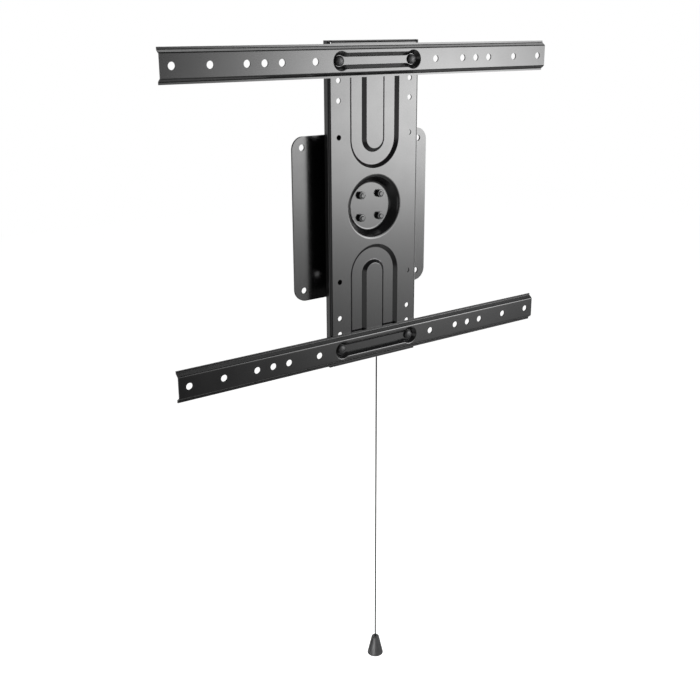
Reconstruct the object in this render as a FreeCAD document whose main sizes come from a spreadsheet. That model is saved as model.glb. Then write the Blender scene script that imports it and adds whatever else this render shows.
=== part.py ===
"""Turning wall mount for a flat screen, with a pull cord that frees the turn.

A folded wall bracket carries a pivot. A stamped plate turns on it, in front of the wall, and
carries two rails with the holes that the screen is bolted to. A slide behind the plate locks
the turn at every quarter, and a cord with a cone draws it down.

Frame: X to the right, Y towards the wall, Z up. The origin is the middle of the four wall
holes, on the wall. A depth is a distance in front of the wall, so it lies at Y = -depth.
"""
import FreeCAD, Part
import Sketcher
import math
import os
import re

doc = FreeCAD.newDocument("turning_wall_mount")
sheet = doc.addObject("Spreadsheet::Sheet", "sizes")

SIZES = {
    # Wall bracket
    "bracket_edge": 15.5,         # wall holes to the sides of the flanges
    "bracket_end": 15,            # wall holes to the ends of the bracket
    "bracket_sheet": 3,           # sheet thickness
    "bracket_depth": 14.5,        # wall to the front of the raised face
    "bracket_step": 50,           # wall holes to the corner of the raised face
    "bracket_flare": 7,           # spread of each sloped wall
    "bracket_bend": 2.5,          # inner bend radius
    "bracket_corner": 18,         # outer corner radius of the flanges
    "wall_pitch": 200,            # wall holes, both ways
    "wall_hole": 9,               # wall hole diameter

    # Pivot, from the wall bracket forward
    "pivot_rise": 13.5,           # pivot above the middle of the wall holes
    "spindle_dia": 20,            # spindle shank
    "spindle_head": 28,           # spindle head, sunk in the hub disc
    "spindle_head_height": 1.5,   # thickness of that head
    "spindle_thread": 16,         # threaded end of the spindle
    "spindle_end": 0.5,           # thread standing out of its nut
    "running_play": 0.06,         # radial play of a shaft or guide
    "running_gap": 0.3,           # gap between faces that slide past each other
    "bush_wall": 2,               # wall of the pivot bush
    "friction_sheet": 1.2,        # thickness of a friction washer
    "front_friction_outer": 90,   # front friction washer
    "front_friction_inner": 60,   # front friction washer, clear of the studs
    "rear_friction_outer": 60,    # rear friction washer
    "keeper_outer": 56,           # steel washer behind the rear friction washer
    "keeper_sheet": 2.5,          # its thickness
    "spindle_nut_flats": 24,      # spindle nut across flats
    "spindle_nut_height": 5,      # spindle nut
    "hub_dia": 112,               # hub disc
    "hub_sheet": 3,               # hub disc thickness
    "stud_pitch": 32,             # square of hub studs
    "stud_dia": 6,                # hub stud and rail bolt
    "stud_head": 9,               # flush head at the back of a hub stud
    "stud_head_height": 1.2,      # thickness of that head
    "stud_tip": 1.5,              # thread standing out of a hub nut
    "thread_play": 0.05,          # radial play of a thread or a pressed shank
    "hub_nut_height": 5,          # hub nut
    "nut_flats": 10,              # hub and rail nuts across flats

    # Turning plate
    "plate_side": 16,             # rail bolts to the plate's sides
    "plate_overhang": 26,         # rail bolts to the plate's ends
    "plate_sheet": 2,             # sheet thickness
    "fold_gap": 1.2,              # folded edge to the heads of the guide rivets
    "plate_bend": 2,              # inner bend radius
    "relief_side": 3.8,           # side of the plate to the slit beside its end fold
    "relief_width": 2.5,          # width of that slit
    "relief_reach": 6,            # length of that slit
    "hole_play": 0.7,             # radial play of a bolt in the plate or a rail
    "dish_depth": 12,             # drop of the dish in the middle
    "dish_run": 8.75,             # slope of the dish's wall, across
    "dish_margin": 6.1,           # corners of the hub nuts to the dish's wall
    "dish_round": 4,              # inner bend radius of the dish
    "channel_outer": 82.5,        # outer width of a pressed channel's loop
    "channel_inner": 28.5,        # width of the tongue inside it
    "channel_depth": 4,           # drop of the channel
    "channel_run": 4.6,           # slope of the channel's walls, across
    "channel_gap": 11.05,         # dish to the channel's arc
    "channel_over": 12,           # rail bolts to the channel's open ends
    "channel_round": 1.5,         # bend radius of the channel

    # Rails
    "rail_end": 15,               # last screen hole to the rail's end
    "rail_lip": 2.6,              # lip beyond each wall
    "rail_depth": 7.6,            # over the whole section
    "rail_sheet": 2,              # sheet thickness
    "recess_margin": 2.6,         # recess to the corners of the face
    "rail_flare": 4,              # spread of each wall
    "rail_bend": 0.6,             # inner bend radius
    "screen_hole": 9.6,           # hole for a screen bolt
    "screen_rows": 400,           # upper rail to lower rail
    "upper_second": 175,          # second place of the upper rail, above the pivot
    "upper_third": 148.5,         # third place of the upper rail
    "upper_fourth": 100,          # fourth place of the upper rail
    "lower_second": 178,          # second place of the lower rail, below the pivot
    "lower_third": 154.5,         # third place of the lower rail
    "lower_fourth": 101,          # fourth place of the lower rail
    "columns_600": 600,           # widest pair of screen holes
    "columns_500": 500,           # second pair
    "columns_400": 400,           # third pair
    "columns_350": 350,           # fourth pair
    "columns_300": 300,           # fifth pair
    "columns_200": 200,           # narrowest pair
    "rail_bolt_pitch": 120,       # two bolts that hold a rail
    "head_gap": 0.75,             # bolt head to the wall of the recess
    "recess_waist": 20,           # width of the recess between its ends
    "recess_blend": 9,            # arc between a round end and the waist
    "recess_run": 5,              # slope of the recess walls, across
    "recess_round": 2.2,          # rounded rim of the recess
    "bolt_head": 13.5,            # domed bolt head
    "bolt_head_height": 4.5,      # domed bolt head
    "bolt_dome": 4,               # rounding of the head
    "bolt_end": 1.5,              # thread standing out of a rail nut
    "washer_outer": 12,           # washer under a rail nut
    "washer_sheet": 1.6,          # its thickness
    "rail_nut_height": 5,         # rail nut

    # Lock and pull cord
    "notch_width": 10,            # lock notch in the hub disc
    "notch_depth": 6,             # lock notch
    "lock_travel": 4.8,           # travel of the slide, drawn to locked
    "lock_draw": 0.8,             # drawn tooth to the rim of the disc
    "tooth_length": 8,            # tooth of the slide
    "slide_width": 28,            # body of the slide
    "guide_dia": 8,               # shank of a guide rivet
    "guide_head": 14,             # head of a guide rivet
    "guide_head_height": 1.5,     # head of a guide rivet
    "guide_drop": 7.7,            # slide's shoulder to the upper rivet
    "guide_below": 7.6,           # spring window to the lower rivet
    "spacer_outer": 16,           # spacer behind the slide
    "window_drop": 12,            # upper rivet to the spring window
    "window_play": 0.7,           # spring to the sides of its window
    "spring_length": 14,          # spring, squeezed, with the slide drawn
    "spring_dia": 5,              # over the coils
    "spring_wire": 0.8,           # spring wire
    "spring_turns": 5,            # coils
    "stop_play": 0.4,             # fixed stop to the sides of the window
    "stop_height": 3,             # fixed stop in the window
    "slide_tail": 13,             # lower rivet to the slide's lower edge
    "ear_side": 15.5,             # cord ear to the right of the pivot
    "ear_drop": 10,               # slide's lower edge to the ear's hole
    "ear_radius": 7.5,            # rounded ear
    "ear_hole": 5,                # hole that the cord is tied through
    "cord_dia": 2,                # pull cord
    "knot_dia": 7.4,              # knot under the ear
    "cord_length": 566,           # knot to the cone
    "cone_top": 11.5,             # pull cone, top
    "cone_base": 25.5,            # pull cone, bottom
    "cone_height": 31,            # pull cone
    "cone_cap": 8,                # solid top of the cone
    "cone_hollow": 12,            # hollow of the cone
    "cone_round": 1.5,            # rounded edges of the cone
    "end_knot_dia": 6.6,          # knot inside the cone
    "knot_flat": 63,              # angle, in degrees, where a knot is cut flat for the cord
}
for row, (alias, value) in enumerate(SIZES.items(), start=1):
    sheet.set(f"A{row}", alias)
    sheet.set(f"B{row}", str(value))
    sheet.setAlias(f"B{row}", alias)
doc.recompute()

# Widths and heights, as formulas of the sizes
BOLT_HOLE = "(stud_dia + 2 * hole_play)"
BRACKET_WIDTH = "(wall_pitch + 2 * bracket_edge)"
BRACKET_HEIGHT = "(wall_pitch + 2 * bracket_end)"
BRACKET_FACE = "(wall_pitch - 2 * bracket_step)"
BRACKET_FOOT = f"({BRACKET_FACE} + 2 * bracket_flare)"
PLATE_WIDTH = "(rail_bolt_pitch + 2 * plate_side)"
PLATE_HEIGHT = "(screen_rows + 2 * plate_overhang)"
DISH_FLOOR = "(stud_pitch * sqrt(2) + 2 * nut_flats / sqrt(3) + 2 * dish_margin)"
DISH_RIM = f"({DISH_FLOOR} + 2 * dish_run)"
CHANNEL_CENTRE = f"({DISH_RIM} / 2 + channel_outer / 2 + channel_gap)"
CHANNEL_END = "(screen_rows / 2 + channel_over)"
RAIL_LENGTH = "(columns_600 + 2 * rail_end)"
RECESS_END = "(bolt_head + 2 * head_gap + 2 * recess_run)"
RAIL_FACE = f"({RECESS_END} + 2 * recess_margin)"
RAIL_FOOT = f"({RAIL_FACE} + 2 * rail_flare)"
RAIL_HEIGHT = f"({RAIL_FOOT} + 2 * rail_lip)"
WINDOW_WIDTH = "(spring_dia + 2 * window_play)"
STOP_WIDTH = f"({WINDOW_WIDTH} - 2 * stop_play)"

# Depths in front of the wall, as formulas of the sizes
FACE = "bracket_depth"
HUB_BACK = f"({FACE} + friction_sheet + running_gap)"
HUB_FRONT = f"({HUB_BACK} + hub_sheet)"
DISH_FRONT = f"({HUB_FRONT} + plate_sheet)"
PLATE_FRONT = f"({DISH_FRONT} + dish_depth)"
PLATE_BACK = f"({PLATE_FRONT} - plate_sheet)"
FOLD_BACK = f"({HUB_FRONT} + running_gap + guide_head_height + fold_gap)"
RAIL_SEAT = f"({PLATE_FRONT} + rail_sheet)"
RAIL_BACK = f"({PLATE_FRONT} + rail_depth - rail_sheet)"
RAIL_FRONT = f"({PLATE_FRONT} + rail_depth)"
KEEPER_FRONT = "(bracket_depth - bracket_sheet - friction_sheet - running_gap)"
KEEPER_BACK = f"({KEEPER_FRONT} - keeper_sheet)"
SPINDLE_NUT_BACK = f"({KEEPER_BACK} - spindle_nut_height)"
SLIDE_MIDDLE = f"({HUB_BACK} + hub_sheet / 2)"

# Heights of the lock, as formulas of the sizes
TOOTH_TIP = "(pivot_rise - hub_dia / 2 - lock_draw)"
SHOULDER = f"({TOOTH_TIP} - tooth_length)"
UPPER_GUIDE = f"({SHOULDER} - guide_drop)"
WINDOW_TOP = f"({UPPER_GUIDE} - window_drop)"
STOP_TOP = f"({WINDOW_TOP} - spring_length)"
WINDOW_BOTTOM = f"({STOP_TOP} - stop_height - lock_travel - 2 * running_gap)"
LOWER_GUIDE = f"({WINDOW_BOTTOM} - guide_below)"
SLIDE_BOTTOM = f"({LOWER_GUIDE} - slide_tail)"
EAR = f"({SLIDE_BOTTOM} - ear_drop)"
KNOT = f"({EAR} - ear_radius - running_gap - knot_dia / 2)"
CORD_TOP = f"({KNOT} - knot_dia / 2 * sin(knot_flat * 1 deg))"
CORD_BOTTOM = f"({CORD_TOP} - cord_length - cone_cap)"
CONE_TOP = f"({CORD_TOP} - cord_length)"


def bound(formula):
    """The formula with each size named as a cell of the sheet."""
    def cell(word):
        name = word.group()
        return f"sizes.{name}" if name in SIZES else name
    return re.sub(r"[a-z]\w*", cell, formula)


def number(formula):
    """The present value of a formula."""
    return float(sheet.evalExpression(bound(formula)))


def place(piece, x="0", y="0", z="0"):
    """Bind the place of a piece to formulas."""
    for axis, formula in (("x", x), ("y", y), ("z", z)):
        piece.setExpression(f"Placement.Base.{axis}", bound(formula))


def named(piece, label):
    """Give a finished piece the name of its file."""
    piece.Label = label
    pieces.append(piece)
    return piece


pieces = []


# Sketches

def sketch_on(body, name, plane, offset="0"):
    """A sketch on one of the body's own planes, moved along that plane's normal."""
    sketch = body.newObject("Sketcher::SketchObject", name)
    support = [feature for feature in body.Origin.OriginFeatures if feature.Role == plane][0]
    sketch.AttachmentSupport = (support, [""])
    sketch.MapMode = "FlatFace"
    sketch.setExpression("AttachmentOffset.Base.z", bound(offset))
    return sketch


def front_sketch(body, name, depth):
    """A sketch seen from the front, at a depth before the wall."""
    return sketch_on(body, name, "XZ_Plane", depth)


def constrain(sketch, formula, kind, *where):
    """Add one dimension and bind it to a formula."""
    index = sketch.addConstraint(Sketcher.Constraint(kind, *where, number(formula)))
    sketch.setExpression(f"Constraints[{index}]", bound(formula))


def pin(sketch, geometry, vertex, x, y):
    """Hold one point of a sketch at formulas of its two coordinates."""
    constrain(sketch, x, "DistanceX", -1, 1, geometry, vertex)
    constrain(sketch, y, "DistanceY", -1, 1, geometry, vertex)


def outline(sketch, corners):
    """A closed outline of straight edges."""
    points = [FreeCAD.Vector(number(x), number(y), 0) for x, y in corners]
    count = len(points)
    first = sketch.GeometryCount
    for index in range(count):
        sketch.addGeometry(Part.LineSegment(points[index], points[(index + 1) % count]))
    for index, (x, y) in enumerate(corners):
        following = first + (index + 1) % count
        sketch.addConstraint(Sketcher.Constraint("Coincident", first + index, 2, following, 1))
        pin(sketch, first + index, 1, x, y)


def rectangle(sketch, left, right, low, high):
    """A closed rectangle."""
    outline(sketch, [(left, low), (right, low), (right, high), (left, high)])


def circle(sketch, x, y, diameter):
    """A full circle."""
    middle = FreeCAD.Vector(number(x), number(y), 0)
    ring = Part.Circle(middle, FreeCAD.Vector(0, 0, 1), number(diameter) / 2)
    index = sketch.addGeometry(ring)
    pin(sketch, index, 3, x, y)
    constrain(sketch, diameter, "Diameter", index)


def arc(sketch, x, y, radius, start, end):
    """An arc about a point, anticlockwise between two angles in radians."""
    ring = Part.Circle(FreeCAD.Vector(x, y, 0), FreeCAD.Vector(0, 0, 1), radius)
    return sketch.addGeometry(Part.ArcOfCircle(ring, start, end))


def line(sketch, x_start, y_start, x_end, y_end):
    """A straight edge."""
    start = FreeCAD.Vector(x_start, y_start, 0)
    return sketch.addGeometry(Part.LineSegment(start, FreeCAD.Vector(x_end, y_end, 0)))


def slot(sketch, x, high, low, diameter):
    """An upright slot between the middles of its two round ends."""
    across, top, bottom = number(x), number(high), number(low)
    radius = number(diameter) / 2
    upper = arc(sketch, across, top, radius, 0, math.pi)
    left = line(sketch, across - radius, top, across - radius, bottom)
    lower = arc(sketch, across, bottom, radius, math.pi, 2 * math.pi)
    right = line(sketch, across + radius, bottom, across + radius, top)
    for one, end, other, start in ((upper, 2, left, 1), (left, 2, lower, 1),
                                   (lower, 2, right, 1), (right, 2, upper, 1)):
        sketch.addConstraint(Sketcher.Constraint("Tangent", one, end, other, start))
    pin(sketch, upper, 3, x, high)
    pin(sketch, lower, 3, x, low)
    constrain(sketch, diameter, "Diameter", upper)


def dumbbell(sketch, pitch, end_radius, half_waist, blend):
    """Two round ends joined by a waist, with an arc in each corner between them."""
    middle, radius = number(pitch) / 2, number(end_radius)
    waist, corner = number(half_waist), number(blend)
    rise = waist + corner
    reach = math.sqrt((radius + corner) ** 2 - rise ** 2)
    turn = math.atan2(rise, reach)
    joint = middle - reach
    quarter, half = math.pi / 2, math.pi
    right = arc(sketch, middle, 0, radius, turn - half, half - turn)
    upper_right = arc(sketch, joint, rise, corner, -quarter, -turn)
    top = line(sketch, joint, waist, -joint, waist)
    upper_left = arc(sketch, -joint, rise, corner, turn + half, half + quarter)
    left = arc(sketch, -middle, 0, radius, turn, 2 * half - turn)
    lower_left = arc(sketch, -joint, -rise, corner, quarter, half - turn)
    bottom = line(sketch, -joint, -waist, joint, -waist)
    lower_right = arc(sketch, joint, -rise, corner, turn, quarter)
    meetings = ((right, 2, upper_right, 2), (upper_right, 1, top, 1), (top, 2, upper_left, 2),
                (upper_left, 1, left, 1), (left, 2, lower_left, 2), (lower_left, 1, bottom, 1),
                (bottom, 2, lower_right, 2), (lower_right, 1, right, 1))
    for one, end, other, start in meetings:
        sketch.addConstraint(Sketcher.Constraint("Tangent", one, end, other, start))
    for flat, height in ((top, half_waist), (bottom, f"-{half_waist}")):
        sketch.addConstraint(Sketcher.Constraint("Horizontal", flat))
        constrain(sketch, height, "DistanceY", -1, 1, flat, 1)
    for end, side in ((right, f"{pitch} / 2"), (left, f"-{pitch} / 2")):
        pin(sketch, end, 3, side, "0")
        constrain(sketch, end_radius, "Radius", end)
    for bend in (upper_right, upper_left, lower_left, lower_right):
        constrain(sketch, blend, "Radius", bend)


# Features

def pad(body, sketch, length, taper="0", backward=False, both_ways=False):
    """Thicken a sketch, towards the front unless backward."""
    feature = body.newObject("PartDesign::Pad", f"{sketch.Name}_pad")
    feature.Profile = sketch
    feature.setExpression("Length", bound(length))
    feature.setExpression("TaperAngle", bound(taper))
    feature.Reversed = backward
    feature.Midplane = both_ways
    return feature


def pocket(body, sketch, length, taper="0"):
    """Cut a sketch away, towards the wall."""
    feature = body.newObject("PartDesign::Pocket", f"{sketch.Name}_pocket")
    feature.Profile = sketch
    feature.setExpression("Length", bound(length))
    feature.setExpression("TaperAngle", bound(taper))
    return feature


def turned(body, name, corners, kind="PartDesign::Revolution"):
    """A profile of depth and radius, turned about the body's own depth axis."""
    sketch = sketch_on(body, f"{name}_profile", "YZ_Plane")
    outline(sketch, [(f"-({depth})", radius) for depth, radius in corners])
    feature = body.newObject(kind, name)
    feature.Profile = sketch
    feature.ReferenceAxis = (sketch, ["H_Axis"])
    feature.Angle = 360
    return feature


def rounded(body, base, name, radius, chosen):
    """Round the edges of a feature that the test picks."""
    doc.recompute()
    edges = [f"Edge{index + 1}" for index, edge in enumerate(base.Shape.Edges) if chosen(edge)]
    if not edges:
        raise RuntimeError(f"{name} finds no edge to round")
    feature = body.newObject("PartDesign::Fillet", name)
    feature.Base = (base, edges)
    feature.setExpression("Radius", bound(radius))
    doc.recompute()
    return feature


def near(one, other):
    """Whether two lengths are the same."""
    return abs(one - other) < 0.01


def runs_along(edge, axis):
    """Whether an edge is straight and lies along a row axis."""
    if edge.Curve.TypeId != "Part::GeomLine":
        return False
    return near(abs(getattr(edge.Curve.Direction, axis)), 1)


def bend_at(axis, first, second):
    """A test for straight edges along one axis, at formulas of the other two, on both sides."""
    others = [name for name in "xyz" if name != axis]
    wanted = [abs(number(first)), abs(number(second))]

    def chosen(edge):
        if not runs_along(edge, axis):
            return False
        middle = edge.CenterOfMass
        return all(near(abs(getattr(middle, name)), value) for name, value in zip(others, wanted))
    return chosen


def circle_at(depth, diameter):
    """A test for a full circle about the depth axis."""
    place_y, radius = -number(depth), number(diameter) / 2

    def chosen(edge):
        if edge.Curve.TypeId != "Part::GeomCircle":
            return False
        return near(edge.CenterOfMass.y, place_y) and near(edge.Curve.Radius, radius)
    return chosen


# Round and six-sided pieces whose axis points out of the wall

OUTWARD = FreeCAD.Rotation(FreeCAD.Vector(1, 0, 0), 90)


def rod(name, diameter, x, z, back, front):
    """A plain round rod between two depths."""
    piece = doc.addObject("Part::Cylinder", name)
    piece.setExpression("Radius", bound(f"({diameter}) / 2"))
    piece.setExpression("Height", bound(f"{front} - {back}"))
    piece.Placement = FreeCAD.Placement(FreeCAD.Vector(), OUTWARD)
    place(piece, x, f"-{back}", z)
    return piece


def cut(name, base, tool):
    """One piece less another."""
    piece = doc.addObject("Part::Cut", name)
    piece.Base = base
    piece.Tool = tool
    return piece


def fused(name, *parts):
    """Several shapes that are one piece."""
    piece = doc.addObject("Part::MultiFuse", name)
    piece.Shapes = list(parts)
    return piece


def ring(name, outer, inner, x, z, back, front):
    """A washer or a bush between two depths."""
    hole = rod(f"{name}_hole", inner, x, z, back, front)
    return cut(name, rod(f"{name}_blank", outer, x, z, back, front), hole)


def hex_nut(name, flats, bore, x, z, back, front):
    """A six-sided nut."""
    prism = doc.addObject("Part::Prism", f"{name}_hexagon")
    prism.Polygon = 6
    prism.setExpression("Circumradius", bound(f"{flats} / sqrt(3)"))
    prism.setExpression("Height", bound(f"{front} - {back}"))
    prism.Placement = FreeCAD.Placement(FreeCAD.Vector(), OUTWARD)
    place(prism, x, f"-{back}", z)
    return cut(name, prism, rod(f"{name}_bore", bore, x, z, back, front))


def group(label, members):
    """Like pieces that share one name."""
    piece = doc.addObject("Part::Compound", f"{label}_group")
    piece.Links = members
    return named(piece, label)


def wall_slope(sheet_name, run, drop):
    """How far the back of a sloped wall lies from its front, across, in one sheet thickness."""
    return f"({sheet_name} * (sqrt(1 + ({run} / {drop})^2) - {run} / {drop}))"


# Wall bracket: one folded sheet, raised in the middle

def wall_bracket():
    body = doc.addObject("PartDesign::Body", "wall_bracket_body")
    drop = "(bracket_depth - bracket_sheet)"
    shift = wall_slope("bracket_sheet", "bracket_flare", drop)
    edge, foot, face = f"{BRACKET_WIDTH} / 2", f"{BRACKET_FOOT} / 2", f"{BRACKET_FACE} / 2"
    right = [(edge, "0"), (edge, "-bracket_sheet"), (foot, "-bracket_sheet"), (face, f"-{FACE}")]
    inner = [(f"{face} - {shift}", f"-{drop}"), (f"{foot} - {shift}", "0")]
    left = [(f"-({x})", y) for x, y in reversed(right)]
    inner_left = [(f"-({x})", y) for x, y in reversed(inner)]
    section = sketch_on(body, "bracket_section", "XY_Plane")
    outline(section, right + left + inner_left + inner)
    sheet_form = pad(body, section, BRACKET_HEIGHT, both_ways=True)
    inside, outside = "bracket_bend", "(bracket_bend + bracket_sheet)"
    bends = ((foot, "bracket_sheet", inside), (face, FACE, outside),
             (f"{face} - {shift}", drop, inside), (f"{foot} - {shift}", "0", outside))
    for index, (x, depth, radius) in enumerate(bends):
        chosen = bend_at("z", x, depth)
        sheet_form = rounded(body, sheet_form, f"bracket_bend_{index}", radius, chosen)
    corners = bend_at("y", edge, f"{BRACKET_HEIGHT} / 2")
    rounded(body, sheet_form, "bracket_corners", "bracket_corner", corners)
    holes = front_sketch(body, "bracket_holes", FACE)
    for x in ("-wall_pitch / 2", "wall_pitch / 2"):
        for z in ("-wall_pitch / 2", "wall_pitch / 2"):
            circle(holes, x, z, "wall_hole")
    circle(holes, "0", "pivot_rise", "spindle_dia + 2 * running_play + 2 * bush_wall")
    for z in (UPPER_GUIDE, LOWER_GUIDE):
        circle(holes, "0", z, "guide_dia")
    pocket(body, holes, FACE)
    return named(body, "wall_bracket")


# Pivot: bush and friction washers on the wall, spindle and keeper on the turning side

def pivot():
    bore = "(spindle_dia + 2 * running_play)"
    sleeve = f"({bore} + 2 * bush_wall)"
    inner_face = "(bracket_depth - bracket_sheet)"
    bush_back = f"({inner_face} - friction_sheet)"
    bush_front = f"({FACE} + friction_sheet)"
    bush = ring("bush", sleeve, bore, "0", "pivot_rise", bush_back, bush_front)
    named(bush, "pivot_bush")
    front = ring("front_friction", "front_friction_outer", "front_friction_inner", "0",
                 "pivot_rise", FACE, bush_front)
    named(front, "front_friction_washer")
    rear = ring("rear_friction", "rear_friction_outer", f"{sleeve} + 2 * thread_play", "0",
                "pivot_rise", bush_back, inner_face)
    named(rear, "rear_friction_washer")
    body = doc.addObject("PartDesign::Body", "spindle_body")
    shank, thread = "spindle_dia / 2", "spindle_thread / 2"
    head_back = f"{HUB_FRONT} - spindle_head_height"
    end = f"{SPINDLE_NUT_BACK} - spindle_end"
    turned(body, "spindle_turned",
           [(end, "0"), (end, thread), (KEEPER_FRONT, thread), (KEEPER_FRONT, shank),
            (head_back, shank), (head_back, "spindle_head / 2"),
            (HUB_FRONT, "spindle_head / 2"), (HUB_FRONT, "0")])
    place(body, z="pivot_rise")
    named(body, "pivot_spindle")
    thread_bore = "spindle_thread + 2 * thread_play"
    keeper = ring("keeper", "keeper_outer", thread_bore, "0", "pivot_rise", KEEPER_BACK, KEEPER_FRONT)
    named(keeper, "keeper_washer")
    nut = hex_nut("spindle_hexagon", "spindle_nut_flats", thread_bore, "0", "pivot_rise",
                  SPINDLE_NUT_BACK, KEEPER_BACK)
    named(nut, "spindle_nut")


# Hub disc: a flat disc behind the dish, with a lock notch at every quarter

def hub_disc():
    body = doc.addObject("PartDesign::Body", "hub_disc_body")
    plan = front_sketch(body, "hub_plan", HUB_BACK)
    circle(plan, "0", "0", "hub_dia")
    pad(body, plan, "hub_sheet")
    notch = front_sketch(body, "hub_notch", HUB_FRONT)
    reach = "hub_dia / 2"
    rectangle(notch, "-notch_width / 2", "notch_width / 2", f"-{reach} - notch_depth",
              f"-{reach} + notch_depth")
    first_notch = pocket(body, notch, "hub_sheet")
    quarters = body.newObject("PartDesign::PolarPattern", "hub_quarters")
    quarters.Originals = [first_notch]
    quarters.Axis = (notch, ["N_Axis"])
    quarters.Angle = 360
    quarters.Occurrences = 4
    body.Tip = quarters
    seat = front_sketch(body, "hub_head_seat", HUB_FRONT)
    circle(seat, "0", "0", "spindle_head + 2 * thread_play")
    pocket(body, seat, "spindle_head_height")
    holes = front_sketch(body, "hub_holes", HUB_FRONT)
    circle(holes, "0", "0", "spindle_dia + 2 * thread_play")
    for x, z in stud_places():
        circle(holes, x, z, "stud_dia + 2 * thread_play")
    pocket(body, holes, "hub_sheet")
    sunk = front_sketch(body, "hub_stud_seats", f"({HUB_BACK} + stud_head_height)")
    for x, z in stud_places():
        circle(sunk, x, z, "stud_head + 2 * thread_play")
    pocket(body, sunk, "stud_head_height")
    place(body, z="pivot_rise")
    return named(body, "hub_disc")


def stud_places():
    """The four studs, as formulas from the pivot."""
    half = "stud_pitch / 2"
    return [(f"-{half}", f"-{half}"), (half, f"-{half}"), (f"-{half}", half), (half, half)]


def hub_fasteners():
    studs = []
    nuts = []
    nut_front = f"({DISH_FRONT} + hub_nut_height)"
    for index, (x, z) in enumerate(stud_places()):
        height = f"pivot_rise + {z}"
        head = rod(f"stud_head_{index}", "stud_head", x, height, HUB_BACK, f"({HUB_BACK} + stud_head_height)")
        shank = rod(f"stud_shank_{index}", "stud_dia", x, height, HUB_BACK, f"({nut_front} + stud_tip)")
        studs.append(fused(f"stud_{index}", head, shank))
        nuts.append(hex_nut(f"hub_nut_{index}", "nut_flats", "stud_dia + 2 * thread_play", x, height,
                            DISH_FRONT, nut_front))
    group("hub_studs", studs)
    group("hub_nuts", nuts)


# Turning plate: a stamped tray with a dish in the middle and a pressed loop at each end

def turning_plate():
    body = doc.addObject("PartDesign::Body", "turning_plate_body")
    half_width, half_height = f"{PLATE_WIDTH} / 2", f"{PLATE_HEIGHT} / 2"
    blank = front_sketch(body, "plate_blank", FOLD_BACK)
    rectangle(blank, f"-{half_width}", half_width, f"-{half_height}", half_height)
    tray = pad(body, blank, f"{PLATE_FRONT} - {FOLD_BACK}")
    outer = "(plate_bend + plate_sheet)"
    side, end = bend_at("z", half_width, PLATE_FRONT), bend_at("x", PLATE_FRONT, half_height)
    tray = rounded(body, tray, "plate_folds", outer, lambda edge: side(edge) or end(edge))
    inside = front_sketch(body, "plate_inside", PLATE_BACK)
    across, along = f"({half_width} - plate_sheet)", f"({half_height} - plate_sheet)"
    rectangle(inside, f"-{across}", across, f"-{along}", along)
    tray = pocket(body, inside, f"{PLATE_BACK} - {FOLD_BACK}")
    inner_side, inner_end = bend_at("z", across, PLATE_BACK), bend_at("x", PLATE_BACK, along)
    rounded(body, tray, "plate_inner_folds", "plate_bend",
            lambda edge: inner_side(edge) or inner_end(edge))
    reliefs = front_sketch(body, "plate_reliefs", PLATE_FRONT)
    outer_x, inner_x = f"({half_width} - relief_side)", f"({half_width} - relief_side - relief_width)"
    inner_z, outer_z = f"({half_height} - relief_reach)", f"({half_height} + relief_reach)"
    for x_sign in ("-", ""):
        for z_sign in ("-", ""):
            rectangle(reliefs, f"{x_sign}{inner_x}", f"{x_sign}{outer_x}",
                      f"{z_sign}{inner_z}", f"{z_sign}{outer_z}")
    pocket(body, reliefs, f"{PLATE_FRONT} - {FOLD_BACK}")
    plate_dish(body)
    for end_name, sign in (("upper", ""), ("lower", "-")):
        plate_channel(body, end_name, sign)
    rail_places = {"first": ("screen_rows / 2", "-screen_rows / 2"),
                   "second": ("upper_second", "-lower_second"),
                   "third": ("upper_third", "-lower_third"),
                   "fourth": ("upper_fourth", "-lower_fourth")}
    for name, heights in rail_places.items():
        holes = front_sketch(body, f"plate_{name}_holes", PLATE_FRONT)
        for x in ("-rail_bolt_pitch / 2", "rail_bolt_pitch / 2"):
            for z in heights:
                circle(holes, x, z, BOLT_HOLE)
        pocket(body, holes, "plate_sheet")
    studs = front_sketch(body, "plate_stud_holes", DISH_FRONT)
    for x, z in stud_places():
        circle(studs, x, z, BOLT_HOLE)
    pocket(body, studs, "plate_sheet")
    place(body, z="pivot_rise")
    return named(body, "swivel_plate")


def plate_dish(body):
    """The dish: a boss behind the sheet, then its hollow, then the four bends."""
    shift = wall_slope("plate_sheet", "dish_run", "dish_depth")
    back_rim, back_floor = f"{DISH_RIM} / 2 + {shift}", f"{DISH_FLOOR} / 2 + {shift}"
    turned(body, "dish_boss", [(PLATE_BACK, "0"), (PLATE_BACK, back_rim),
                               (HUB_FRONT, back_floor), (HUB_FRONT, "0")])
    dish = turned(body, "dish_hollow", [(PLATE_FRONT, "0"), (PLATE_FRONT, f"{DISH_RIM} / 2"),
                                        (DISH_FRONT, f"{DISH_FLOOR} / 2"), (DISH_FRONT, "0")],
                  "PartDesign::Groove")
    inside, outside = "dish_round", "(dish_round + plate_sheet)"
    bends = ((PLATE_FRONT, DISH_RIM, outside), (DISH_FRONT, DISH_FLOOR, inside),
             (PLATE_BACK, f"2 * ({back_rim})", inside), (HUB_FRONT, f"2 * ({back_floor})", outside))
    for index, (depth, diameter, radius) in enumerate(bends):
        dish = rounded(body, dish, f"dish_bend_{index}", radius, circle_at(depth, diameter))


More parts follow.
